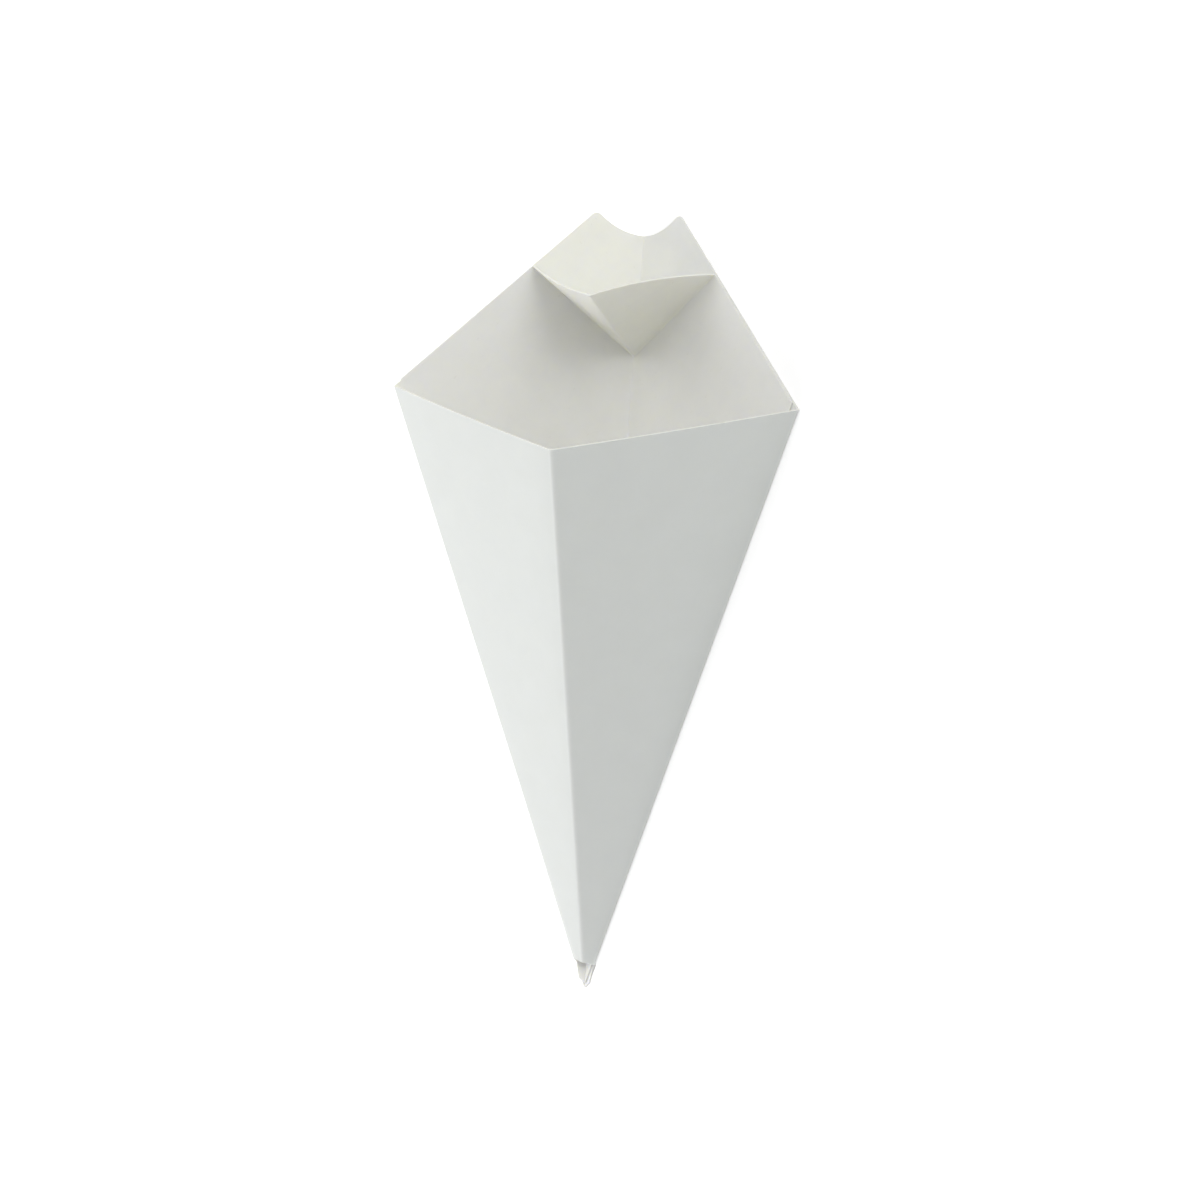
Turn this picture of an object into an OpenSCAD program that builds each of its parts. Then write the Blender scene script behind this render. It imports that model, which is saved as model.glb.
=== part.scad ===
// Paper fry cone with a dip cup, folded from one glued blank of white board.
// The opened cone is a four-sided funnel. Its back is two layers thick: the outer layer rises into a
// tab with a finger notch, and the inner layer's top is folded forward to make the dip cup.
// The cone can't stand on its tip, so it lies on its back right panel, mouth towards +X.
// Sizes are in millimetres, measured on the inside of the folds.

/* [Blank] */
// Length of the front crease, from the tip to the rim
front_crease = 138; // [100:1:200]
// Flat width of one panel at the rim, square to the front crease
panel_w = 58; // [44:1:80]
// Slope of the back's top edges on the flat blank, in degrees
edge_angle = 45; // [38:1:50]
// Radius of the finger notch, centred on the corner where the top edges would meet
notch_r = 17; // [8:0.5:24]
// Radius that rounds the tab's two corners
corner_r = 1.5; // [0.5:0.25:4]
// Distance from the tip at which the front panels are cut off
tip_relief = 6; // [3:0.5:15]
// Thickness of the board
board_t = 0.4; // [0.25:0.05:0.7]
// Distance at the rim from a glued layer's cut edge to the side crease beside it
lap_inset = 2; // [1:0.25:5]

/* [Opening] */
// Angle between the two front panels, in degrees
front_angle = 113; // [80:1:140]

/* [Dip cup] */
// Length of top edge above the cup's fold, measured down from the corner
cup_edge = 38.5; // [30:0.5:48]
// Distance from that corner down the back crease to the cup's lowest point
cup_drop = 46.5; // [40:0.5:60]
// Length of the cup's front fold, from its lowest point to its lip
lip_len = 42; // [30:0.5:46]

/* [Hidden] */
$fn = 64;

// How far a cutting shape runs past what it cuts
overrun = 5;
// Facets round a folded edge
fold_facets = 32;

// Flat blank, in one panel's plane: u across from the back crease, v along it from the tip
side_crease = norm([panel_w, front_crease]);
panel_angle = atan(panel_w / front_crease);
corner_v = front_crease + panel_w * tan(edge_angle);
edge_way = [cos(edge_angle), -sin(edge_angle)];
edge_in = [-sin(edge_angle), -cos(edge_angle)];
tab_corner = [0, corner_v];
round_mid = tab_corner + sqrt(notch_r ^ 2 + 2 * notch_r * corner_r) * edge_way + corner_r * edge_in;
hinge_end = tab_corner + cup_edge * edge_way;
hinge_low = tab_corner - [0, cup_drop];
lip = hinge_low + [0, lip_len];

// Opened cone, standing on its tip: +Z up its axis, +X to its right, +Y to its back
half_w = panel_w * sin(front_angle / 2);
rim_h = sqrt(side_crease ^ 2 - half_w ^ 2);
side_lean = asin(half_w / side_crease);
lean = acos(front_crease / rim_h);
panel_tilt = 90 - front_angle / 2;
reach = corner_v + overrun;

// Directions of the back right panel: across it, along the back crease and into the cone
across = [cos(panel_tilt), -sin(panel_tilt) * cos(lean), sin(panel_tilt) * sin(lean)];
along = [0, sin(lean), cos(lean)];
inward = cross(across, along);

// How far the cup's flaps run back past their folds, into the layers that carry them
fold_root = board_t / 2;

// The inner layer moves the back walls in by one thickness, along the front crease
front_way = [0, -sin(lean), cos(lean)];
inner_shift = board_t / (front_way * inward);

// The cup's two folds, and the turn about the X direction of the plane that they share
function on_back(uv) = uv[0] * across + uv[1] * along;
fold_low = on_back(hinge_low);
fold_end = on_back(hinge_end);
fold_way = fold_end - fold_low;
fold_turn = atan2(fold_way[2], fold_way[1]);
fold_side = [fold_way[0], norm([fold_way[1], fold_way[2]])];
fold_far = reach / norm(fold_way);

// Directions of the lying cone: ahead towards the mouth, aside to its left and up
axis_rise = inward[2];
ahead = ([0, 0, 1] - axis_rise * inward) / sqrt(1 - axis_rise ^ 2);
aside = cross(inward, ahead);
mirrored = [-1, 1, 1];
function flip(p) = [for (i = [0 : 2]) p[i] * mirrored[i]];
right_corner = [half_w, 0, rim_h];
rounds_x = [on_back(round_mid) * ahead, flip(on_back(round_mid)) * ahead];
mid_x = (max(rounds_x) + corner_r - board_t) / 2;
mid_y = (right_corner * aside + flip(right_corner) * aside) / 2;

board_white = [0.93, 0.94, 0.92];

// Space inside the outer layer, sharp at its creases
module inside() {
    side = reach * tan(side_lean);
    depth = reach * tan(lean);
    polyhedron(
        points = [[0, 0, 0], [side, 0, reach], [0, depth, reach], [-side, 0, reach], [0, -depth, reach]],
        faces = [[0, 1, 2], [0, 2, 3], [0, 3, 4], [0, 4, 1], [4, 3, 2, 1]]
    );
}

// The same space filled out to the outer layer's outside, where each fold turns about its crease
module outside() {
    hull() {
        sphere(board_t, $fn = fold_facets);
        for (turn = [-1, 1]) {
            rotate([0, turn * side_lean, 0])
                cylinder(h = reach / cos(side_lean), r = board_t, $fn = fold_facets);
            rotate([turn * lean, 0, 0])
                cylinder(h = reach / cos(lean), r = board_t, $fn = fold_facets);
        }
    }
}

// Half spaces in front of and behind the side creases, and to the right of the other two
module front_half() {
    translate([-reach, -reach, -reach]) cube([2 * reach, reach, 2 * reach]);
}

module back_half() {
    translate([-reach, 0, -reach]) cube([2 * reach, reach, 2 * reach]);
}

module back_right() {
    translate([0, 0, -reach]) cube([reach, reach, 2 * reach]);
}

// Places a flat shape on the back right panel, with heights measured into the cone
module on_panel() {
    rotate([90 - lean, 0, 0]) rotate([0, -panel_tilt, 0]) children();
}

// Outline of the outer back layer on one panel, run past both of its creases
module tab_outline() {
    rise = overrun * tan(edge_angle);
    offset(r = corner_r)
        offset(delta = -corner_r)
            difference() {
                polygon([
                    [-overrun, -overrun],
                    [panel_w + overrun, -overrun],
                    [panel_w + overrun, front_crease - rise],
                    [-overrun, corner_v + rise]
                ]);
                translate(tab_corner) circle(notch_r);
            }
}

// What the cut edges leave of the folded board: straight cuts across the front, a notched tab behind
module within_edges() {
    intersection() {
        front_half();
        rotate([lean, 0, 0])
            translate([-reach, -reach, tip_relief])
                cube([2 * reach, 2 * reach, front_crease - tip_relief]);
    }
    for (side = [0, 1])
        mirror([side, 0, 0])
            intersection() {
                back_right();
                on_panel()
                    translate([0, 0, -overrun])
                        linear_extrude(2 * overrun) tab_outline();
            }
}

// Everything between the cup's two folds, or up to a margin past them, seen square to their plane
module between_folds(margin = 0) {
    point = [0, -margin * norm(fold_side) / fold_side[0]];
    right = fold_far * fold_side;
    translate(fold_low)
        rotate([fold_turn, 0, 0])
            linear_extrude(2 * reach, center = true)
                translate(point) polygon([[0, 0], right, [-right[0], right[1]]]);
}

// Turns a part of the inner layer forward about the cup's folds
module turn_over() {
    translate(fold_low)
        rotate([fold_turn, 0, 0])
            mirror([0, 0, 1])
                rotate([-fold_turn, 0, 0])
                    translate(-fold_low) children();
}

// Narrow wedge of a back panel beside its side crease, from the cut edge of a glued layer outwards
module lap_wedge() {
    far_v = side_crease + overrun;
    rotate([0, 0, -panel_angle])
        polygon([[0, 0], [overrun, 0], [overrun, far_v], [-lap_inset * far_v / side_crease, far_v]]);
}

// Outside step where the last panel's cut edge stops short of the left crease
module outer_lap() {
    mirror([1, 0, 0])
        intersection() {
            on_panel() translate([0, 0, -overrun]) linear_extrude(overrun) lap_wedge();
            translate([0, -reach, -reach]) cube([reach, 2 * reach, 2 * reach]);
        }
}

// Inside step where the first panel's cut edge stops short of the right crease
module inner_lap() {
    intersection() {
        on_panel() linear_extrude(overrun) lap_wedge();
        inside();
        back_half();
    }
}

// Walls of the funnel and its tab: one layer in front and above the cup's folds, two layers behind
module walls() {
    difference() {
        intersection() {
            outside();
            within_edges();
        }
        translate(inner_shift * front_way) inside();
        intersection() {
            inside();
            back_half();
            between_folds();
        }
        outer_lap();
        inner_lap();
    }
}

// The two flaps of the inner layer that are folded forward and meet in the cup's front fold
module dip_cup() {
    turn_over()
        for (side = [0, 1])
            mirror([side, 0, 0])
                intersection() {
                    back_right();
                    between_folds(fold_root);
                    on_panel()
                        translate([0, 0, -board_t])
                            linear_extrude(board_t)
                                polygon([
                                    [-overrun, hinge_low[1] - overrun],
                                    [hinge_end[0], hinge_end[1] - overrun],
                                    hinge_end,
                                    lip,
                                    [-overrun, lip[1]]
                                ]);
                }
}

// Lays the cone on its back right panel, with the middle of its footprint's box at the origin
module lay_down() {
    translate([-mid_x, -mid_y, board_t])
        multmatrix([ahead, aside, inward])
            children();
}

// The whole folded blank, one piece
module fry_cone() {
    color(board_white)
        lay_down() {
            walls();
            dip_cup();
        }
}

fry_cone();
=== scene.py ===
"""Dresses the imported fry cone: one die-cut blank of white board, folded and glued.

The blank is cut flat, folded along its scores into a funnel with a dip cup, given its thickness and
finished inside, outside and on its cut edges.
"""

from __future__ import annotations

import enum
import logging
import math
from dataclasses import dataclass, field

import bmesh
import bpy
from mathutils import Matrix, Vector

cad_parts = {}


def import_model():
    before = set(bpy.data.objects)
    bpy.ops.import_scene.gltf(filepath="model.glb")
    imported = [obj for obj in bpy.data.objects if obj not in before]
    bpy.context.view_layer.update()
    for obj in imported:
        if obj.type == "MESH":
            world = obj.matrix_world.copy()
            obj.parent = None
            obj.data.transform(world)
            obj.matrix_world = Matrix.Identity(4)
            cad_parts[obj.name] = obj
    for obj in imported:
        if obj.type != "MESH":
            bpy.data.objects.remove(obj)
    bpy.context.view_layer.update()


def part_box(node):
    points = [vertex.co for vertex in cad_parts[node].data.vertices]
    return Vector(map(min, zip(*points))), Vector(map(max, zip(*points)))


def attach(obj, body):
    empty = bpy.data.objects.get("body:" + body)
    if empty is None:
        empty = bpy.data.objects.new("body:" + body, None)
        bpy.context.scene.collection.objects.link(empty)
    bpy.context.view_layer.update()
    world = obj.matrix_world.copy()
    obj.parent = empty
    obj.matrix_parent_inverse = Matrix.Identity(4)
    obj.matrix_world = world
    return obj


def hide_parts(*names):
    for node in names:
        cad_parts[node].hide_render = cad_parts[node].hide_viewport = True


LOG = logging.getLogger("fry_cone")
MM = 0.001
BODY = "root"
NODE = "fry_cone"
# Mesh layers: a corner's place on the flat blank, a face's panel and whether it is on a flap
BLANK_MAP = "blank"
PANEL_LAYER = "panel"
FLAP_LAYER = "flap"
# Scores from the front score round to the back one
BACK_SCORE = 2
# Makes share * (1 - share) peak at 1
ARCH = 4.0
# A stretch that leaves a grain as it is
EVEN = (1.0, 1.0, 1.0)
WHITE = (1.0, 1.0, 1.0, 1.0)

Triple = tuple[float, float, float]


class BoardFace(enum.Enum):
    """The three surfaces of a sheet of board, in the order of the mesh's material slots."""

    INSIDE = 0
    OUTSIDE = 1
    CUT_EDGE = 2


class Panel(enum.Enum):
    """The blank's panels, by how many scores they lie from the front score, left side negative."""

    INNER_BACK_RIGHT = -3
    INNER_BACK_LEFT = -2
    FRONT_LEFT = -1
    FRONT_RIGHT = 1
    OUTER_BACK_RIGHT = 2
    OUTER_BACK_LEFT = 3

    @property
    def hand(self) -> int:
        """Side of the front score on which the panel lies flat: -1 left, 1 right."""
        return 1 if self.value > 0 else -1

    @property
    def is_front(self) -> bool:
        """Whether the panel is one of the two beside the front score."""
        return self in (Panel.FRONT_LEFT, Panel.FRONT_RIGHT)


class Sheet(enum.Enum):
    """The parts of the folded blank that are bowed each in its own way."""

    LEFT_FLAP = -1
    WALLS = 0
    RIGHT_FLAP = 1


@dataclass
class BlankSizes:
    """Sizes of the flat blank and of the opened cone, in metres and radians."""

    front_crease: float = 138 * MM
    panel_width: float = 58 * MM
    edge_angle: float = math.radians(45)
    notch_radius: float = 17 * MM
    notch_steps: int = 8
    corner_radius: float = 1.5 * MM
    corner_segments: int = 4
    tip_relief: float = 6 * MM
    tail_end: float = 0.2 * MM
    tail_half: float = 1.4 * MM
    tail_slant: float = 1.1 * MM
    thickness: float = 0.4 * MM
    glue_gap: float = 0.03 * MM
    lap_inset: float = 2 * MM
    front_angle: float = math.radians(113)
    cup_edge: float = 38.5 * MM
    cup_drop: float = 46.5 * MM
    lip_length: float = 42 * MM
    fold_width: float = 0.3 * MM
    fold_segments: int = 3
    fold_relief: float = 1.1

    @property
    def side_crease(self) -> float:
        """Length of a side crease from the tip to the rim."""
        return math.hypot(self.panel_width, self.front_crease)

    @property
    def panel_angle(self) -> float:
        """Angle of one panel at the tip."""
        return math.atan2(self.panel_width, self.front_crease)

    @property
    def fold_start(self) -> float:
        """Height above the tip from which the folds are rounded."""
        return self.fold_relief * self.tip_relief

    @property
    def corner_v(self) -> float:
        """Distance from the tip to the corner where the back's top edges would meet."""
        return self.front_crease + self.panel_width * math.tan(self.edge_angle)

    @property
    def corner(self) -> Vector:
        """That corner, on a flat back panel."""
        return Vector((0, self.corner_v))

    @property
    def edge_way(self) -> Vector:
        """Direction of the top edge away from that corner, on a flat back panel."""
        return Vector((math.cos(self.edge_angle), -math.sin(self.edge_angle)))


@dataclass
class ConeFolds:
    """Directions and fold angles of the opened cone, standing on its tip with +Y to its back."""

    sizes: BlankSizes
    across: Vector = field(init=False)
    along: Vector = field(init=False)
    inward: Vector = field(init=False)
    front_way: Vector = field(init=False)
    side_way: Vector = field(init=False)
    layer_shift: Vector = field(init=False)
    fold_low: Vector = field(init=False)
    fold_normal: Vector = field(init=False)

    def __post_init__(self) -> None:
        """Works the directions out from the blank's sizes."""
        s = self.sizes
        half_width = s.panel_width * math.sin(s.front_angle / 2)
        rim_height = math.sqrt(s.side_crease**2 - half_width**2)
        lean = math.acos(s.front_crease / rim_height)
        tilt = math.pi / 2 - s.front_angle / 2
        fall, rise = -math.sin(tilt) * math.cos(lean), math.sin(tilt) * math.sin(lean)
        self.across = Vector((math.cos(tilt), fall, rise))
        self.along = Vector((0, math.sin(lean), math.cos(lean)))
        self.inward = self.across.cross(self.along)
        self.front_way = Vector((0, -math.sin(lean), math.cos(lean)))
        self.side_way = Vector((half_width, 0, rim_height)).normalized()
        shift = (s.thickness + s.glue_gap) / self.front_way.dot(self.inward)
        self.layer_shift = shift * self.front_way
        self.fold_low = self.on_back(s.corner - Vector((0, s.cup_drop)))
        fold_way = self.on_back(s.corner + s.cup_edge * s.edge_way) - self.fold_low
        normal = Vector((0, -fold_way.z, fold_way.y)).normalized()
        self.fold_normal = normal if normal.dot(self.along) > 0 else -normal

    def on_back(self, uv: Vector) -> Vector:
        """Point of the back right panel.

        Args:
            uv: distance across from the back crease and distance along it from the tip.

        Returns:
            The point in the standing cone's frame.
        """
        return uv.x * self.across + uv.y * self.along

    def turned(self, way: Vector) -> Vector:
        """A direction, mirrored across the plane of the cup's two folds."""
        return way - 2 * way.dot(self.fold_normal) * self.fold_normal

    def flap_ways(self, hand: int) -> tuple[Vector, Vector]:
        """Folds that bound one flap of the cup, from the cup's lowest point.

        Args:
            hand: -1 for the left flap, 1 for the right one.

        Returns:
            The way along the front fold to the lip, and along the flap's own fold to its end.
        """
        s = self.sizes
        to_lip = self.turned(self.on_back(Vector((0, s.lip_length))))
        to_end = self.on_back(s.corner + s.cup_edge * s.edge_way) - self.fold_low
        return to_lip, Vector((hand * to_end.x, to_end.y, to_end.z))

    @property
    def side_fold(self) -> float:
        """Angle through which a side score is folded."""
        return self.inward.angle(Vector((self.inward.x, -self.inward.y, self.inward.z)))

    @property
    def end_fold(self) -> float:
        """Angle through which the front and back scores are folded."""
        return math.pi - self.sizes.front_angle

    def lie_down(self, tip: Vector) -> Matrix:
        """Placement of the cone on its back right panel.

        Args:
            tip: place of the cone's inner tip in the part's frame.

        Returns:
            The matrix from the standing cone's frame to the part's frame.
        """
        rise = self.inward.z
        ahead = (Vector((0, 0, 1)) - rise * self.inward) / math.sqrt(1 - rise**2)
        aside = self.inward.cross(ahead)
        return Matrix.Translation(tip) @ Matrix((ahead, aside, self.inward)).to_4x4()


@dataclass
class FryCone:
    """The folded blank: six panels in a fan, two of them turned forward at the top into the cup."""

    sizes: BlankSizes
    folds: ConeFolds
    columns: int = 16
    first_row: int = 2
    row_pitch: float = 4 * MM
    flap_cells: int = 14
    left_bow: float = 1.0 * MM
    right_bow: float = -1.3 * MM
    front_bow: float = 0.5 * MM
    smooth_angle: float = math.radians(32)
    weld: float = 0.002 * MM

    def build(self, tip: Vector, finishes: list[bpy.types.Material]) -> bpy.types.Object:
        """Cuts, folds, thickens and dresses the blank.

        Args:
            tip: place of the cone's inner tip in the part's frame.
            finishes: one material for each face of the board, in BoardFace order.

        Returns:
            The finished object, with its place in its mesh.
        """
        bm = bmesh.new()
        self._cut_blank(bm)
        self._fold_panels(bm)
        self._turn_cup(bm)
        self._round_folds(bm)
        self._lay_grid(bm)
        self._bow_sheets(bm)
        bmesh.ops.transform(bm, matrix=self.folds.lie_down(tip), verts=bm.verts)
        return self._thicken(bm, finishes)

    def _ray(self, scores: float) -> Vector:
        """Unit direction on the flat blank, so many scores to the right of the front score."""
        turn = scores * self.sizes.panel_angle
        return Vector((math.sin(turn), math.cos(turn), 0))

    def _flat(self, panel: Panel, u: float, v: float) -> Vector:
        """Place on the flat blank.

        Args:
            panel: the panel that the place is on.
            u: distance across from the panel's front or back score.
            v: distance along that score from the tip.

        Returns:
            The place on the blank, with the front score along +Y.
        """
        ray = self._ray(0 if panel.is_front else BACK_SCORE * panel.hand)
        beside = Vector((ray.y, -ray.x, 0)) * panel.hand
        before_score = panel in (Panel.INNER_BACK_LEFT, Panel.OUTER_BACK_RIGHT)
        return v * ray + (-u if before_score else u) * beside

    def _cut(self, bm: bmesh.types.BMesh, faces: list[bmesh.types.BMFace], place: Vector,
             normal: Vector, drop_outer: bool = False) -> None:
        """Cuts some faces with a plane.

        Args:
            bm: the blank.
            faces: the faces that are cut.
            place: a point of the plane.
            normal: the plane's unit normal.
            drop_outer: whether what lies beyond the plane is thrown away.
        """
        edges = dict.fromkeys(edge for face in faces for edge in face.edges)
        corners = dict.fromkeys(vert for face in faces for vert in face.verts)
        bmesh.ops.bisect_plane(bm, geom=[*faces, *edges, *corners], dist=self.weld, plane_co=place,
                               plane_no=normal, clear_outer=drop_outer)

    def _cut_blank(self, bm: bmesh.types.BMesh) -> None:
        """Cuts the six panels out flat and joins them along their scores.

        Args:
            bm: the empty mesh that receives the blank.
        """
        owner = bm.faces.layers.int.new(PANEL_LAYER)
        for panel in Panel:
            loop = [bm.verts.new(self._flat(panel, *uv)) for uv in self._outline(panel)]
            if panel in (Panel.OUTER_BACK_RIGHT, Panel.OUTER_BACK_LEFT):
                loop += self._notch(bm, panel, loop[-1])
            face = bm.faces.new(loop)
            face[owner] = panel.value
            face.material_index = BoardFace.OUTSIDE.value
        self._trim_laps(bm)
        bmesh.ops.remove_doubles(bm, verts=bm.verts, dist=self.weld)
        bmesh.ops.recalc_face_normals(bm, faces=bm.faces)
        if sum(face.normal.z for face in bm.faces) < 0:
            bmesh.ops.reverse_faces(bm, faces=bm.faces)
        self._round_tab_corners(bm)
        place = bm.verts.layers.float_vector.new(BLANK_MAP)
        for vert in bm.verts:
            vert[place] = vert.co

    def _outline(self, panel: Panel) -> list[tuple[float, float]]:
        """Corners of a panel, up to the finger notch on the two outer back panels.

        Args:
            panel: the panel.

        Returns:
            Distances across from its front or back score and along it from the tip, in order.
        """
        s, f = self.sizes, self.folds
        slope = math.tan(s.panel_angle)
        near_rim = s.front_crease - f.layer_shift.length
        rim = near_rim if panel.hand < 0 else s.front_crease
        side = [(s.tip_relief * slope, s.tip_relief), (rim * slope, rim)]
        if panel.is_front:
            return [(0, s.tip_relief), *side, (0, near_rim)]
        tail = [(0, s.tail_end), (s.tail_half, s.tail_end + s.tail_slant)]
        if panel.hand > 0:
            return [*tail, *side, tuple(s.corner + s.notch_radius * s.edge_way)]
        inset = Vector((f.layer_shift.dot(f.across), f.layer_shift.dot(f.along)))
        hinge_end = s.corner + self._hinge_reach(inset) * s.edge_way - inset
        lip = (0, s.corner_v - s.cup_drop + s.lip_length - inset.y)
        return [*tail, *side, tuple(hinge_end), lip]

    def _hinge_reach(self, inset: Vector) -> float:
        """Distance down the inner layer's top edge from the corner to the cup's fold.

        Args:
            inset: how far the inner layer's own tip lies from the outer layer's, on the panel.

        Returns:
            The distance along the edge.
        """
        f = self.folds
        start = f.layer_shift + f.on_back(self.sizes.corner - inset)
        way = f.on_back(self.sizes.edge_way)
        return (f.fold_low - start).dot(f.fold_normal) / way.dot(f.fold_normal)

    def _notch(self, bm: bmesh.types.BMesh, panel: Panel,
               start: bmesh.types.BMVert) -> list[bmesh.types.BMVert]:
        """Spins the finger notch's arc from the top edge to the back score.

        Args:
            bm: the blank.
            panel: the outer back panel that is notched.
            start: the arc's first point, on the top edge.

        Returns:
            The arc's other points, in order.
        """
        s = self.sizes
        turn = math.pi / 2 - s.edge_angle
        swing = turn if panel is Panel.OUTER_BACK_RIGHT else -turn
        seed = bm.verts.new(start.co)
        middle = self._flat(panel, 0, s.corner_v)
        spun = bmesh.ops.spin(bm, geom=[seed], cent=middle, axis=(0, 0, 1), angle=swing,
                              steps=s.notch_steps, use_merge=False, use_duplicate=False)
        arc = [part for part in spun["geom_last"] if isinstance(part, bmesh.types.BMVert)]
        while len(arc) <= s.notch_steps:
            ahead = [edge.other_vert(arc[-1]) for edge in arc[-1].link_edges]
            arc += [vert for vert in ahead if vert not in arc]
        bmesh.ops.delete(bm, geom=[seed], context="VERTS")
        return arc[-2::-1]

    def _trim_laps(self, bm: bmesh.types.BMesh) -> None:
        """Cuts the two free edges back from the side creases that they are glued beside.

        Args:
            bm: the blank.
        """
        s = self.sizes
        owner = bm.faces.layers.int[PANEL_LAYER]
        inset_scores = s.lap_inset / s.side_crease / s.panel_angle
        for panel in (Panel.INNER_BACK_RIGHT, Panel.OUTER_BACK_LEFT):
            ray = self._ray(panel.value - panel.hand * inset_scores)
            beyond = Vector((ray.y, -ray.x, 0)) * panel.hand
            faces = [face for face in bm.faces if face[owner] == panel.value]
            self._cut(bm, faces, Vector((0, 0, 0)), beyond, drop_outer=True)

    def _round_tab_corners(self, bm: bmesh.types.BMesh) -> None:
        """Rounds the tab's two corners, beside the notch.

        Args:
            bm: the blank.
        """
        s = self.sizes
        spot = s.corner + s.notch_radius * s.edge_way
        for panel in (Panel.OUTER_BACK_RIGHT, Panel.OUTER_BACK_LEFT):
            place = self._flat(panel, *spot)
            corner = min(bm.verts, key=lambda vert: (vert.co - place).length)
            bmesh.ops.bevel(bm, geom=[corner], offset=s.corner_radius, offset_type="OFFSET",
                            segments=s.corner_segments, profile=0.5, affect="VERTICES",
                            material=-1)

    def _fold_panels(self, bm: bmesh.types.BMesh) -> None:
        """Folds the flat blank along its scores, from the front score round to the back.

        Args:
            bm: the flat blank.
        """
        f = self.folds
        owner = bm.faces.layers.int[PANEL_LAYER]
        right = Vector((1, 0, 0))
        stand = Matrix((right, f.front_way, right.cross(f.front_way))).transposed()
        bmesh.ops.transform(bm, matrix=stand.to_4x4(), verts=bm.verts)
        for hand in (-1, 1):
            side = Vector((hand * f.side_way.x, 0, f.side_way.z))
            turns = ((f.front_way, f.end_fold / 2), (side, f.side_fold), (f.along, f.end_fold))
            for first, (axis, angle) in enumerate(turns, start=1):
                faces = [face for face in bm.faces if face[owner] * hand >= first]
                verts = list(dict.fromkeys(vert for face in faces for vert in face.verts))
                turn = Matrix.Rotation(hand * angle, 3, axis)
                bmesh.ops.rotate(bm, cent=(0, 0, 0), matrix=turn, verts=verts)
        outer = Panel.OUTER_BACK_RIGHT.value
        shifted = [vert for vert in bm.verts
                   if all(face[owner] < outer for face in vert.link_faces)]
        bmesh.ops.translate(bm, vec=f.layer_shift, verts=shifted)

    def _turn_cup(self, bm: bmesh.types.BMesh) -> None:
        """Turns the inner layer's top forward about the cup's two folds.

        Args:
            bm: the folded blank.
        """
        f = self.folds
        owner = bm.faces.layers.int[PANEL_LAYER]
        inner = Panel.INNER_BACK_LEFT.value
        layer = [face for face in bm.faces if face[owner] <= inner]
        self._cut(bm, layer, f.fold_low, f.fold_normal)
        flap = bm.faces.layers.int.new(FLAP_LAYER)
        for face in bm.faces:
            above = (face.calc_center_median() - f.fold_low).dot(f.fold_normal)
            face[flap] = int(face[owner] <= inner and above > 0)
        turned = dict.fromkeys(vert for face in bm.faces if face[flap] for vert in face.verts)
        verts = [vert for vert in turned if (vert.co - f.fold_low).dot(f.fold_normal) > self.weld]
        mirror = Matrix.Scale(-1, 4, f.fold_normal)
        flip = Matrix.Translation(f.fold_low) @ mirror @ Matrix.Translation(-f.fold_low)
        bmesh.ops.transform(bm, matrix=flip, verts=verts)

    def _round_folds(self, bm: bmesh.types.BMesh) -> None:
        """Gives every fold its small radius, above the stretch where the panels meet in the tip.

        Args:
            bm: the folded blank.
        """
        s = self.sizes
        self._cut(bm, list(bm.faces), Vector((0, 0, s.fold_start)), Vector((0, 0, 1)))
        folded = [edge for edge in bm.edges
                  if len(edge.link_faces) == 2 and edge.calc_face_angle() > s.panel_angle
                  and min(vert.co.z for vert in edge.verts) > s.fold_start - self.weld]
        bmesh.ops.bevel(bm, geom=folded, offset=s.fold_width, offset_type="OFFSET",
                        segments=s.fold_segments, profile=0.5, affect="EDGES", material=-1)

    def _lay_grid(self, bm: bmesh.types.BMesh) -> None:
        """Cuts the walls into rows and columns, and the flaps along their folds, to let them bow.

        Args:
            bm: the folded blank.
        """
        f = self.folds
        top = max(vert.co.z for vert in bm.verts)
        for row in range(self.first_row, int(top / self.row_pitch) + 1):
            level = Vector((0, 0, row * self.row_pitch))
            self._cut(bm, self._faces_of(bm, Sheet.WALLS), level, Vector((0, 0, 1)))
        for column in range(1, self.columns):
            turn = column * math.pi / self.columns
            normal = Vector((math.sin(turn), -math.cos(turn), 0))
            self._cut(bm, self._faces_of(bm, Sheet.WALLS), Vector((0, 0, 0)), normal)
        for sheet in (Sheet.LEFT_FLAP, Sheet.RIGHT_FLAP):
            to_lip, to_end = f.flap_ways(sheet.value)
            flap_normal = to_end.cross(to_lip)
            for cell in range(1, self.flap_cells):
                for way, other in ((to_lip, to_end), (to_end, to_lip)):
                    place = f.fold_low + way * (cell / self.flap_cells)
                    normal = flap_normal.cross(other).normalized()
                    self._cut(bm, self._faces_of(bm, sheet), place, normal)

    @staticmethod
    def _faces_of(bm: bmesh.types.BMesh, sheet: Sheet) -> list[bmesh.types.BMFace]:
        """Faces of the walls or of one flap.

        Args:
            bm: the folded blank.
            sheet: which of them is meant.

        Returns:
            The faces, in the mesh's order.
        """
        flap = bm.faces.layers.int[FLAP_LAYER]
        if sheet is Sheet.WALLS:
            return [face for face in bm.faces if not face[flap]]
        return [face for face in bm.faces
                if face[flap] and face.calc_center_median().x * sheet.value > 0]

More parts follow.
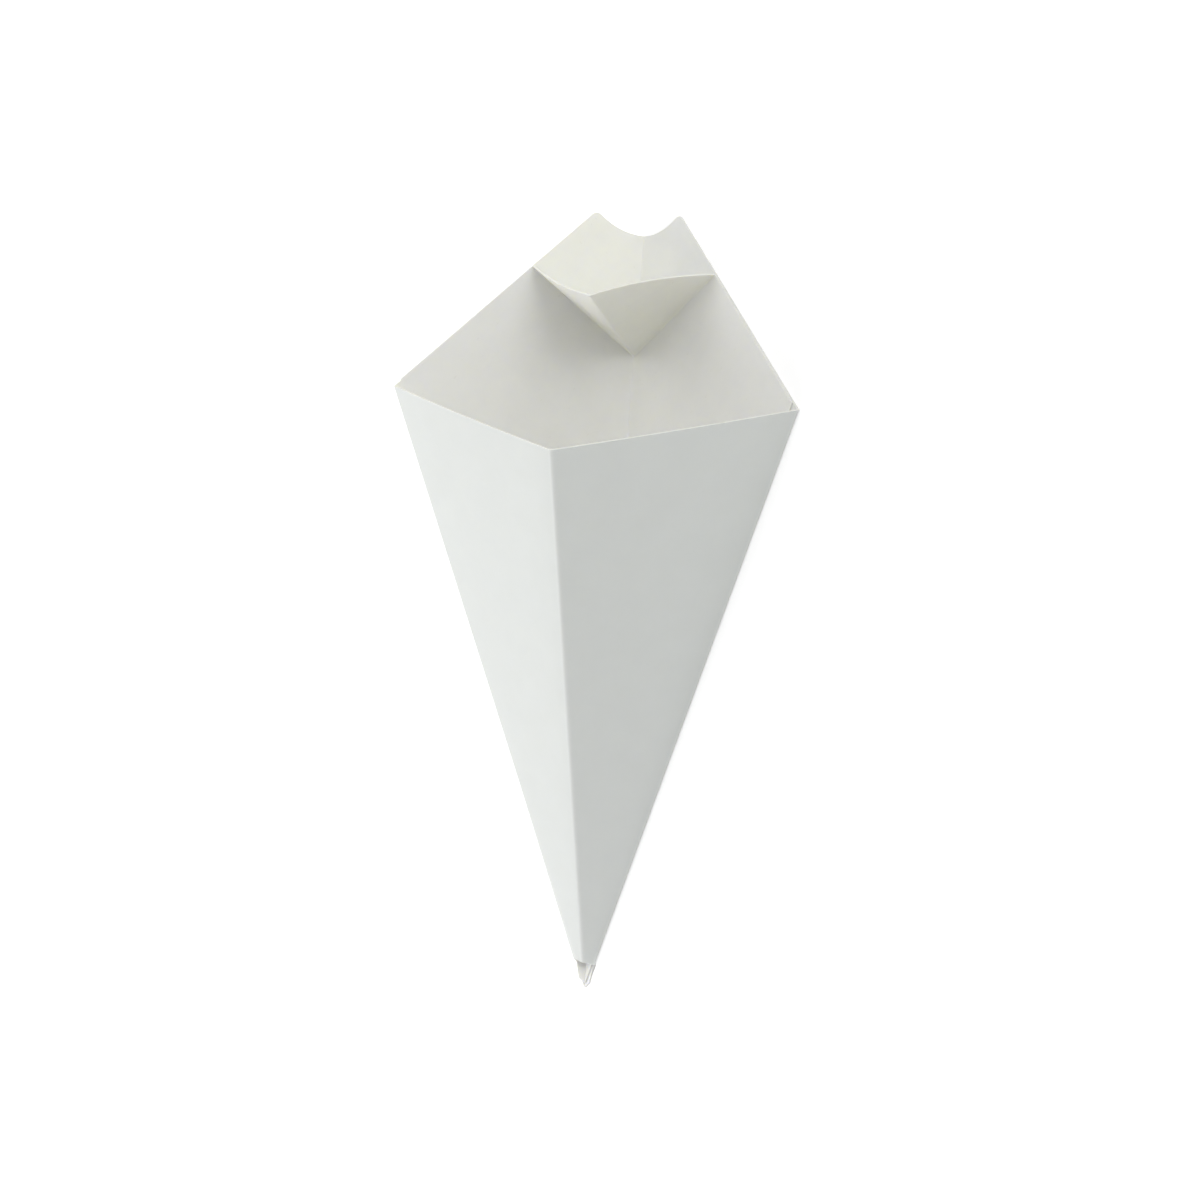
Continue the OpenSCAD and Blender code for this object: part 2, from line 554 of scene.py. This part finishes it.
    def _bow_sheets(self, bm: bmesh.types.BMesh) -> None:
        """Bows the left flap into the cup, the right flap out of it and the front panels outwards.

        Args:
            bm: the folded blank, in rows and columns.
        """
        inward = self.folds.inward
        owner = bm.faces.layers.int[PANEL_LAYER]
        flap = bm.faces.layers.int[FLAP_LAYER]
        front = (Panel.FRONT_LEFT.value, Panel.FRONT_RIGHT.value)
        for vert in bm.verts:
            if all(face[flap] for face in vert.link_faces):
                vert.co += self._flap_bow_at(vert.co) * self._flap_up(vert.co)
            elif all(face[owner] in front for face in vert.link_faces):
                hand = math.copysign(1, vert.co.x)
                outward = Vector((-hand * inward.x, inward.y, -inward.z))
                vert.co += self._front_bow_at(vert.co) * outward

    def _flap_up(self, place: Vector) -> Vector:
        """Direction from a flap's underside to its upper side.

        Args:
            place: a point of either flap.

        Returns:
            The unit direction on the flap that the point is on.
        """
        inward = self.folds.inward
        hand = 1 if place.x > 0 else -1
        return self.folds.turned(Vector((-hand * inward.x, -inward.y, -inward.z)))

    def _flap_bow_at(self, place: Vector) -> float:
        """Height of a flap's bow: none along its two folds, most in the middle of its free edge.

        Args:
            place: a point of either flap, before it is bowed.

        Returns:
            How far that point rises.
        """
        f, s = self.folds, self.sizes
        right = Vector((abs(place.x), place.y, place.z))
        flat = f.fold_low + f.turned(right - f.fold_low)
        u, v = flat.dot(f.across), flat.dot(f.along) - (s.corner_v - s.cup_drop)
        end_u = s.cup_edge * s.edge_way.x
        end_v = s.cup_drop + s.cup_edge * s.edge_way.y
        by_end = max(0.0, u - s.fold_width) / (end_u - s.fold_width)
        by_lip = (v - u / end_u * end_v) / s.lip_length
        bow = self.right_bow if place.x > 0 else self.left_bow
        return bow * max(0.0, ARCH * by_end * by_lip)

    def _front_bow_at(self, place: Vector) -> float:
        """Height of a front panel's bow: none along its creases, most at mid width near the rim.

        Args:
            place: a point of either front panel, before it is bowed.

        Returns:
            How far that point moves outwards.
        """
        f, s = self.folds, self.sizes
        right = Vector((abs(place.x), place.y, place.z))
        v = right.dot(f.front_way)
        u = (right - v * f.front_way).length
        width = max(v, s.tip_relief) * math.tan(s.panel_angle)
        share = min(1.0, max(0.0, u / width))
        return self.front_bow * ARCH * share * (1 - share) * min(1.0, v / s.front_crease)

    def _thicken(self, bm: bmesh.types.BMesh,
                 finishes: list[bpy.types.Material]) -> bpy.types.Object:
        """Turns the folded sheet into board of even thickness.

        Args:
            bm: the folded sheet, its faces pointing out of the cone.
            finishes: one material for each face of the board, in BoardFace order.

        Returns:
            The finished object.
        """
        mesh = bpy.data.meshes.new("fry_cone_sheet")
        bm.to_mesh(mesh)
        bm.free()
        piece = bpy.data.objects.new("fry_cone_board", mesh)
        bpy.context.scene.collection.objects.link(piece)
        for finish in finishes:
            mesh.materials.append(finish)
        wall = piece.modifiers.new("thickness", "SOLIDIFY")
        wall.thickness = self.sizes.thickness
        wall.offset = 1.0
        wall.use_even_offset = True
        wall.use_quality_normals = True
        wall.material_offset = BoardFace.INSIDE.value - BoardFace.OUTSIDE.value
        wall.material_offset_rim = BoardFace.CUT_EDGE.value - BoardFace.OUTSIDE.value
        bpy.context.view_layer.update()
        seen = piece.evaluated_get(bpy.context.evaluated_depsgraph_get())
        solid = bpy.data.meshes.new_from_object(seen)
        piece.modifiers.clear()
        piece.data = solid
        bpy.data.meshes.remove(mesh)
        solid.name = "fry_cone_board"
        solid.polygons.foreach_set("use_smooth", [True] * len(solid.polygons))
        solid.set_sharp_from_angle(angle=self.smooth_angle)
        return piece


@dataclass(frozen=True)
class Grain:
    """One noise of the board: features to a millimetre, octaves, their strength and a stretch."""

    scale: float
    detail: float
    rough: float
    stretch: Triple = EVEN


CLOUD_GRAIN = Grain(scale=0.11, detail=5.0, rough=0.62)
FIBRE_GRAIN = Grain(scale=2.6, detail=6.0, rough=0.72, stretch=(1.0, 0.22, 1.0))
FLECK_GRAIN = Grain(scale=0.9, detail=3.0, rough=0.5, stretch=(0.55, 1.7, 1.0))
FRAY_GRAIN = Grain(scale=1.1, detail=3.0, rough=0.6)


class FinishGraph:
    """Builds the nodes that the board's finishes share."""

    def __init__(self, tree: bpy.types.NodeTree) -> None:
        """Keeps the node tree that is being built."""
        self.tree = tree

    def _new(self, kind: str) -> bpy.types.Node:
        """Adds a node of a kind."""
        return self.tree.nodes.new(kind)

    def feed(self, value: object, socket: bpy.types.NodeSocket) -> None:
        """Links a socket to a socket, or sets a number or colour on it.

        Args:
            value: the socket, number or colour.
            socket: the input that takes it.
        """
        if isinstance(value, bpy.types.NodeSocket):
            self.tree.links.new(value, socket)
        else:
            socket.default_value = value

    def blank_place(self) -> bpy.types.NodeSocket:
        """Reads the place on the flat blank, so that the grain follows the sheet through its folds.

        Returns:
            The place in millimetres.
        """
        read = self._new("ShaderNodeAttribute")
        read.attribute_name = BLANK_MAP
        return self.stretch(read.outputs["Vector"], (1 / MM, 1 / MM, 1 / MM))

    def stretch(self, place: bpy.types.NodeSocket, scale: Triple) -> bpy.types.NodeSocket:
        """Scales a place along its axes.

        Args:
            place: the place.
            scale: one factor for each axis.

        Returns:
            The scaled place.
        """
        node = self._new("ShaderNodeVectorMath")
        node.operation = "MULTIPLY"
        self.feed(place, node.inputs[0])
        node.inputs[1].default_value = scale
        return node.outputs["Vector"]

    def noise(self, place: bpy.types.NodeSocket, grain: Grain) -> bpy.types.NodeSocket:
        """Adds a noise texture.

        Args:
            place: where it is read, in millimetres.
            grain: its sizes.

        Returns:
            The noise, from 0 to 1.
        """
        if grain.stretch != EVEN:
            place = self.stretch(place, grain.stretch)
        node = self._new("ShaderNodeTexNoise")
        self.feed(place, node.inputs["Vector"])
        node.inputs["Scale"].default_value = grain.scale
        node.inputs["Detail"].default_value = grain.detail
        node.inputs["Roughness"].default_value = grain.rough
        return node.outputs["Fac"]

    def math(self, what: str, first: object, second: object) -> bpy.types.NodeSocket:
        """Adds a math node.

        Args:
            what: the operation.
            first: its first number or socket.
            second: its second number or socket.

        Returns:
            The result.
        """
        node = self._new("ShaderNodeMath")
        node.operation = what
        self.feed(first, node.inputs[0])
        self.feed(second, node.inputs[1])
        return node.outputs[0]

    def span(self, value: bpy.types.NodeSocket, low: float, high: float) -> bpy.types.NodeSocket:
        """Spreads a value from 0 to 1 over another range.

        Args:
            value: the value.
            low: the result for 0.
            high: the result for 1.

        Returns:
            The result.
        """
        node = self._new("ShaderNodeMapRange")
        self.feed(value, node.inputs["Value"])
        node.inputs["To Min"].default_value = low
        node.inputs["To Max"].default_value = high
        return node.outputs["Result"]

    def band(self, value: bpy.types.NodeSocket, ends: tuple[float, float]) -> bpy.types.NodeSocket:
        """Rises smoothly from 0 to 1 between two values.

        Args:
            value: the value.
            ends: where the rise begins and ends.

        Returns:
            The result.
        """
        node = self._new("ShaderNodeMapRange")
        node.interpolation_type = "SMOOTHSTEP"
        self.feed(value, node.inputs["Value"])
        node.inputs["From Min"].default_value, node.inputs["From Max"].default_value = ends
        return node.outputs["Result"]

    def mix(self, share: bpy.types.NodeSocket, first: object,
            second: object) -> bpy.types.NodeSocket:
        """Mixes two colours.

        Args:
            share: the second colour's share.
            first: the first colour or socket.
            second: the second colour or socket.

        Returns:
            The mixed colour.
        """
        node = self._new("ShaderNodeMix")
        node.data_type = "RGBA"
        colours = [socket for socket in node.inputs if socket.type == "RGBA"]
        self.feed(share, node.inputs["Factor"])
        self.feed(first, colours[0])
        self.feed(second, colours[1])
        return next(socket for socket in node.outputs if socket.type == "RGBA")

    def bump(self, height: bpy.types.NodeSocket, depth: float,
             strength: float) -> bpy.types.NodeSocket:
        """Adds a bump.

        Args:
            height: the height map.
            depth: what a height of 1 stands for, in metres.
            strength: the bump's strength, from 0 to 1.

        Returns:
            The bumped normal.
        """
        node = self._new("ShaderNodeBump")
        node.inputs["Strength"].default_value = strength
        node.inputs["Distance"].default_value = depth
        self.feed(height, node.inputs["Height"])
        return node.outputs["Normal"]

    def score_lines(self, place: bpy.types.NodeSocket, panel_angle: float, fray: float,
                    ends: tuple[float, float]) -> bpy.types.NodeSocket:
        """Marks the blank's radial scores.

        Args:
            place: place on the flat blank in millimetres.
            panel_angle: the angle from one score to the next.
            fray: how far the marks' edges wander, in millimetres.
            ends: how far from a score its mark begins to fade and is gone, in millimetres.

        Returns:
            1 along a score, 0 away from it.
        """
        split = self._new("ShaderNodeSeparateXYZ")
        self.feed(place, split.inputs[0])
        turn = self.math("ARCTAN2", split.outputs["X"], split.outputs["Y"])
        halfway = 0.5
        panels_off = self.math("PINGPONG", self.math("DIVIDE", turn, panel_angle), halfway)
        reach = self._new("ShaderNodeVectorMath")
        reach.operation = "LENGTH"
        self.feed(place, reach.inputs[0])
        angle_off = self.math("MULTIPLY", panels_off, panel_angle)
        away = self.math("MULTIPLY", angle_off, reach.outputs["Value"])
        wander = self.math("MULTIPLY", self.noise(place, FRAY_GRAIN), fray)
        frayed = self.math("ADD", away, wander)
        return self.math("SUBTRACT", 1.0, self.band(frayed, ends))


@dataclass(frozen=True)
class BoardFinish:
    """Look of one face of the board: its tone, its fibres and what its scores do to it."""

    name: str
    tone: Triple
    fleck_tone: Triple
    score_tone: Triple
    cloud: float
    roughness: float
    roughness_spread: float
    fibre_bump: float
    glow: Triple
    glow_share: float = 0.7
    glow_depth: float = 0.4 * MM
    shine: float = 0.35
    bump_strength: float = 0.6
    cloud_ends: tuple[float, float] = (0.3, 0.7)
    cloud_height: float = 1.5
    fleck_ends: tuple[float, float] = (0.66, 0.76)
    fleck_share: float = 0.5
    score_ends: tuple[float, float] = (0.25, 1.0)
    score_fray: float = 0.5
    score_share: float = 0.6
    score_height: float = -1.5

    def material(self, sizes: BlankSizes) -> bpy.types.Material:
        """Makes the finish's node material.

        Args:
            sizes: the blank's sizes, for the places of its scores.

        Returns:
            The material.
        """
        made = bpy.data.materials.new(self.name)
        made.use_nodes = True
        graph = FinishGraph(made.node_tree)
        shader = made.node_tree.nodes["Principled BSDF"].inputs
        place = graph.blank_place()
        cloud = graph.noise(place, CLOUD_GRAIN)
        fibre = graph.noise(place, FIBRE_GRAIN)
        fleck = graph.band(graph.noise(place, FLECK_GRAIN), self.fleck_ends)
        score = graph.score_lines(place, sizes.panel_angle, self.score_fray, self.score_ends)
        graph.feed(self._toned(graph, cloud, fleck, score), shader["Base Color"])
        low = self.roughness - self.roughness_spread
        high = self.roughness + self.roughness_spread
        graph.feed(graph.span(fibre, low, high), shader["Roughness"])
        height = graph.math("ADD", fibre, graph.math("MULTIPLY", cloud, self.cloud_height))
        height = graph.math("ADD", height, graph.math("MULTIPLY", score, self.score_height))
        graph.feed(graph.bump(height, self.fibre_bump, self.bump_strength), shader["Normal"])
        shader["Specular IOR Level"].default_value = self.shine
        shader["Subsurface Weight"].default_value = self.glow_share
        shader["Subsurface Radius"].default_value = self.glow
        shader["Subsurface Scale"].default_value = self.glow_depth
        return made

    def _toned(self, graph: FinishGraph, cloud: bpy.types.NodeSocket, fleck: bpy.types.NodeSocket,
               score: bpy.types.NodeSocket) -> bpy.types.NodeSocket:
        """Mixes the finish's colour.

        Args:
            graph: the material's nodes.
            cloud: slow noise that varies the tone.
            fleck: 1 on a fleck.
            score: 1 along a score.

        Returns:
            The colour.
        """
        pale, deep = self._shade(1 + self.cloud), self._shade(1 - self.cloud)
        tone = graph.mix(graph.band(cloud, self.cloud_ends), deep, pale)
        flecked = graph.math("MULTIPLY", fleck, self.fleck_share)
        tone = graph.mix(flecked, tone, (*self.fleck_tone, 1.0))
        scored = graph.math("MULTIPLY", score, self.score_share)
        return graph.mix(scored, tone, (*self.score_tone, 1.0))

    def _shade(self, share: float) -> tuple[float, float, float, float]:
        """The finish's tone, lightened or darkened by a share."""
        return (*(min(1.0, part * share) for part in self.tone), 1.0)


INSIDE_FINISH = BoardFinish(
    name="board_inside_uncoated",
    tone=(0.885, 0.885, 0.845),
    fleck_tone=(0.79, 0.78, 0.73),
    score_tone=(0.91, 0.91, 0.88),
    cloud=0.012,
    roughness=0.86,
    roughness_spread=0.06,
    fibre_bump=0.012 * MM,
    glow=(1.0, 0.97, 0.7),
)
OUTSIDE_FINISH = BoardFinish(
    name="board_outside_coated",
    tone=(0.71, 0.73, 0.712),
    fleck_tone=(0.685, 0.705, 0.685),
    score_tone=(0.775, 0.79, 0.775),
    cloud=0.008,
    roughness=0.6,
    roughness_spread=0.08,
    fibre_bump=0.005 * MM,
    glow=(1.0, 0.98, 0.9),
)
EDGE_FINISH = BoardFinish(
    name="board_cut_edge",
    tone=(0.80, 0.80, 0.75),
    fleck_tone=(0.68, 0.66, 0.60),
    score_tone=(0.82, 0.82, 0.78),
    cloud=0.03,
    roughness=0.93,
    roughness_spread=0.04,
    fibre_bump=0.03 * MM,
    glow=(1.0, 0.95, 0.8),
)


@dataclass
class PhotoCamera:
    """The camera, looking down on the lying cone from where the upright cone was seen."""

    target: Vector = field(default_factory=lambda: Vector((1.35, -2.05, 16.8)) * MM)
    back: Vector = field(default_factory=lambda: Vector((0.0891, -0.7591, 0.6449)))
    up: Vector = field(default_factory=lambda: Vector((0.9831, 0.171, 0.0655)))
    distance: float = 830 * MM
    lens: float = 107.55
    sensor: float = 36.0
    near: float = 0.01
    far: float = 50.0

    def build(self) -> None:
        """Makes the scene's camera."""
        data = bpy.data.cameras.new("photo_camera")
        data.lens = self.lens
        data.sensor_width = self.sensor
        data.clip_start = self.near
        data.clip_end = self.far
        camera = bpy.data.objects.new("photo_camera", data)
        bpy.context.scene.collection.objects.link(camera)
        back = self.back.normalized()
        right = self.up.cross(back).normalized()
        turn = Matrix((right, back.cross(right), back)).transposed().to_4x4()
        camera.matrix_world = Matrix.Translation(self.target + self.distance * back) @ turn
        bpy.context.scene.camera = camera


@dataclass(frozen=True)
class Softbox:
    """One large square lamp: where it hangs, its side in metres and its power in watts."""

    name: str
    place: Vector
    size: float
    power: float

    def build(self) -> None:
        """Hangs the lamp, turned towards the cone."""
        data = bpy.data.lights.new(self.name, "AREA")
        data.energy = self.power
        data.size = self.size
        lamp = bpy.data.objects.new(self.name, data)
        bpy.context.scene.collection.objects.link(lamp)
        lamp.location = self.place
        lamp.rotation_euler = (-self.place).to_track_quat("-Z", "Y").to_euler()


@dataclass
class Studio:
    """White floor and soft light."""

    floor_size: float = 30.0
    floor_tone: tuple[float, float, float, float] = (0.9, 0.9, 0.9, 1.0)
    floor_roughness: float = 0.9
    floor_glow: float = 0.3
    sky: float = 0.454
    softboxes: tuple[Softbox, ...] = (
        Softbox("mouth_softbox", Vector((1.489, -1.489, 0.638)), 1.6, 17.4),
        Softbox("top_softbox", Vector((0.893, 0.596, 1.687)), 1.5, 9.4),
        Softbox("tip_softbox", Vector((-0.446, 0.405, 0.527)), 0.6, 3.7),
    )

    def build(self) -> None:
        """Makes the floor, the world and the lamps."""
        self._floor()
        self._world()
        for softbox in self.softboxes:
            softbox.build()

    def _floor(self) -> None:
        """Lays a pale floor that looks white and keeps the object's shadow."""
        bm = bmesh.new()
        bmesh.ops.create_grid(bm, x_segments=2, y_segments=2, size=self.floor_size / 2)
        mesh = bpy.data.meshes.new("floor")
        bm.to_mesh(mesh)
        bm.free()
        floor = bpy.data.objects.new("floor", mesh)
        bpy.context.scene.collection.objects.link(floor)
        made = bpy.data.materials.new("white_floor")
        made.use_nodes = True
        tree = made.node_tree
        shader = tree.nodes["Principled BSDF"].inputs
        shader["Base Color"].default_value = self.floor_tone
        shader["Roughness"].default_value = self.floor_roughness
        shader["Emission Color"].default_value = WHITE
        glow = tree.nodes.new("ShaderNodeMath")
        glow.operation = "MULTIPLY"
        glow.inputs[1].default_value = self.floor_glow
        tree.links.new(self._looked_at(tree), glow.inputs[0])
        tree.links.new(glow.outputs[0], shader["Emission Strength"])
        mesh.materials.append(made)

    @staticmethod
    def _looked_at(tree: bpy.types.NodeTree) -> bpy.types.NodeSocket:
        """Adds the nodes that tell a ray that shows the background from one that lights the cone.

        Args:
            tree: the floor's or the world's node tree.

        Returns:
            1 for camera, glossy and transmission rays, 0 for the others.
        """
        path = tree.nodes.new("ShaderNodeLightPath")
        seen = path.outputs["Is Camera Ray"]
        for kind in ("Is Glossy Ray", "Is Transmission Ray"):
            either = tree.nodes.new("ShaderNodeMath")
            either.operation = "MAXIMUM"
            tree.links.new(seen, either.inputs[0])
            tree.links.new(path.outputs[kind], either.inputs[1])
            seen = either.outputs[0]
        return seen

    def _world(self) -> None:
        """Lights everything softly and looks white behind the floor."""
        world = bpy.data.worlds.new("studio")
        bpy.context.scene.world = world
        world.use_nodes = True
        tree = world.node_tree
        ground = tree.nodes["Background"].inputs
        ground["Color"].default_value = WHITE
        seen = tree.nodes.new("ShaderNodeMapRange")
        seen.inputs["To Min"].default_value = self.sky
        seen.inputs["To Max"].default_value = 1.0
        tree.links.new(self._looked_at(tree), seen.inputs["Value"])
        tree.links.new(seen.outputs["Result"], ground["Strength"])


def main() -> None:
    """Builds the dressed cone, its studio and its camera."""
    logging.basicConfig(level=logging.INFO, format="%(name)s: %(message)s")
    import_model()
    bpy.context.scene.view_settings.view_transform = "Standard"
    PhotoCamera().build()
    sizes = BlankSizes()
    finishes = [finish.material(sizes) for finish in (INSIDE_FINISH, OUTSIDE_FINISH, EDGE_FINISH)]
    low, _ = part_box(NODE)
    tip = Vector((low.x + sizes.thickness, 0, low.z + sizes.thickness))
    piece = FryCone(sizes, ConeFolds(sizes)).build(tip, finishes)
    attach(piece, BODY)
    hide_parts(NODE)
    LOG.info("%s: %d faces", piece.name, len(piece.data.polygons))
    Studio().build()


if __name__ == "__main__":
    main()
